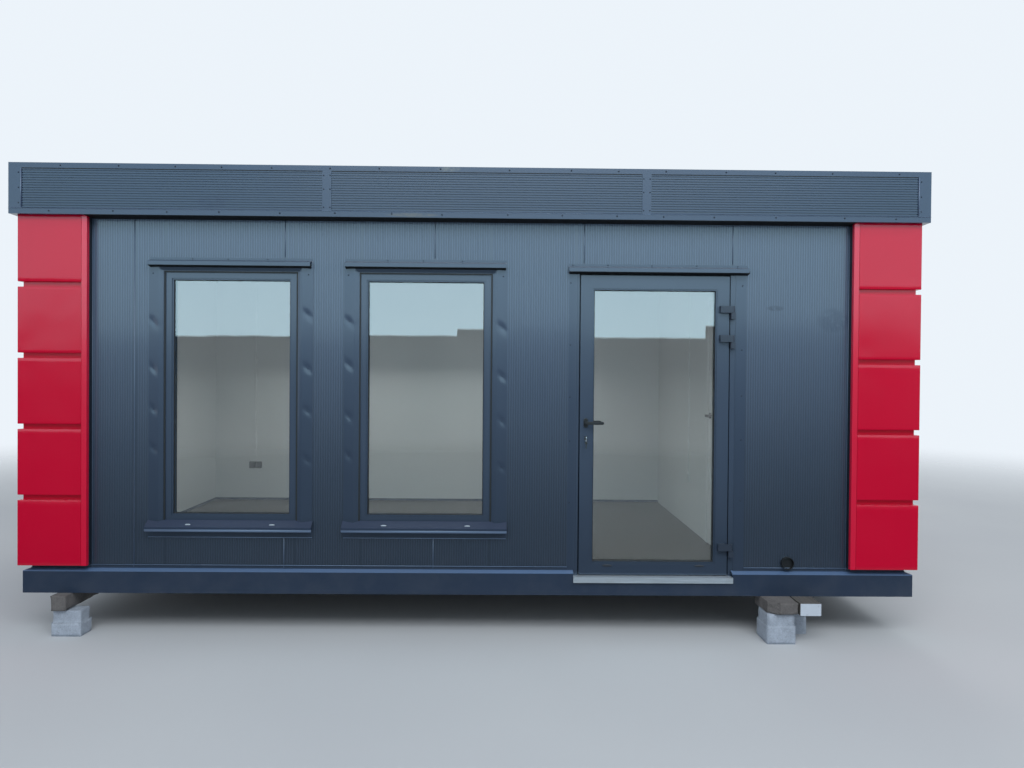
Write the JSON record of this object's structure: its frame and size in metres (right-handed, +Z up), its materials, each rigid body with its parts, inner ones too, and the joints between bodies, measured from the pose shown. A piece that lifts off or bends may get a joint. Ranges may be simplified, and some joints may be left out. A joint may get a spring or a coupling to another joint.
{
  "type": "portable site cabin",
  "caption": "Single-storey flat-roofed portable cabin with ribbed fascia, stacked corner cassettes, fixed windows and a hinged glazed door, raised on support blocks.",
  "frame": {"origin": "on the ground under the middle of the cabin's plan", "axes": "+X along the cabin's length towards the end nearest the door, -Y out of the front, +Z up"},
  "size_m": [6.116, 3.32, 3.136],
  "materials": {
    "concrete": "rough cast concrete",
    "weathered_block": "weathered brown-grey block",
    "old_timber": "weathered timber with a pale end",
    "dark_paint": "anthracite paint on steel",
    "floor_board": "dark brown-grey boards",
    "grey_flashing": "folded grey sheet",
    "wall_panel": "anthracite micro-ribbed sheet",
    "white_lining": "smooth off-white sheet",
    "membrane": "grey roofing membrane",
    "fascia_panel": "anthracite ribbed sheet",
    "dark_flashing": "anthracite folded sheet",
    "red_cassette": "deep red gloss sheet",
    "frame_plastic": "anthracite foiled profile",
    "glass": "clear double pane",
    "bare_aluminium": "mill-finish aluminium",
    "hinge_paint": "dark coated hinge",
    "black_plastic": "satin black",
    "chrome": "polished nickel",
    "white_paint": "white satin paint",
    "white_plastic": "white plastic"
  },
  "bodies": {
    "cabin": {"support_blocks": "concrete", "support_packers": "weathered_block", "support_bearers": "old_timber", "base_frame": "dark_paint", "floor_joists": "dark_paint", "floor_deck": "floor_board", "base_ledge": "grey_flashing", "wall_foot_trim": "grey_flashing", "corner_posts": "dark_paint", "front_wall_left": "wall_panel", "front_wall_over_door": "wall_panel", "front_wall_right": "wall_panel", "back_wall": "wall_panel", "end_walls": "wall_panel", "roof_frame": "dark_paint", "ceiling": "white_lining", "roof_deck": "wall_panel", "roof_membrane": "membrane", "front_fascia": "fascia_panel", "back_fascia": "fascia_panel", "end_fascias": "fascia_panel", "fascia_cap": "dark_flashing", "fascia_drip": "dark_flashing", "fascia_corner_caps": "dark_flashing", "fascia_straps": "dark_flashing", "cassettes_front_left": "red_cassette", "cassettes_front_right": "red_cassette", "cassettes_back_left": "red_cassette", "cassettes_back_right": "red_cassette", "cassette_backings": "red_cassette", "column_liners": "dark_flashing", "cassette_trims": "red_cassette", "window_frames": "frame_plastic", "window_panes": "glass", "window_surrounds": "dark_flashing", "window_aprons": "dark_flashing", "window_sills": "dark_flashing", "drip_caps": "dark_flashing", "door_frame": "frame_plastic", "door_surround": "dark_flashing", "door_threshold": "bare_aluminium", "door_hinge_bases": "hinge_paint", "partition_walls": "white_lining", "partition_head": "white_lining", "inner_door_frame": "white_paint", "inner_hinge_bases": "chrome", "waste_stub": "black_plastic", "power_sockets": "black_plastic", "cable_ducts": "white_plastic"},
    "entrance_door": {"door_leaf": "frame_plastic", "door_pane": "glass", "door_hinge_wings": "hinge_paint", "door_roses": "black_plastic", "door_lock": "chrome"},
    "entrance_handle": {"door_handle": "black_plastic"},
    "inner_door": {"inner_door_leaf": "white_paint", "inner_door_roses": "black_plastic"},
    "inner_handle": {"inner_door_handle": "black_plastic"}
  },
  "joints": [
    {"name": "entrance_hinge", "type": "hinge", "parent": "cabin", "child": "entrance_door", "pos_m": [1.761, -1.481, 0.4065], "axis": [0, 0, 1], "range_deg": [0, 100]},
    {"name": "entrance_lever", "type": "hinge", "parent": "entrance_door", "child": "entrance_handle", "pos_m": [0.774, -1.465, 1.439], "axis": [0, 1, 0], "range_deg": [0, 40], "stiffness_Nm_per_rad": 1.5, "springref_deg": -20.05},
    {"name": "inner_hinge", "type": "hinge", "parent": "cabin", "child": "inner_door", "pos_m": [1.884, -1.274, 0.402], "axis": [0, 0, 1], "range_deg": [0, 90]},
    {"name": "inner_lever", "type": "hinge", "parent": "inner_door", "child": "inner_handle", "pos_m": [1.895, -0.535, 1.445], "axis": [1, 0, 0], "range_deg": [0, 40], "stiffness_Nm_per_rad": 1.5, "springref_deg": -20.05}
  ]
}
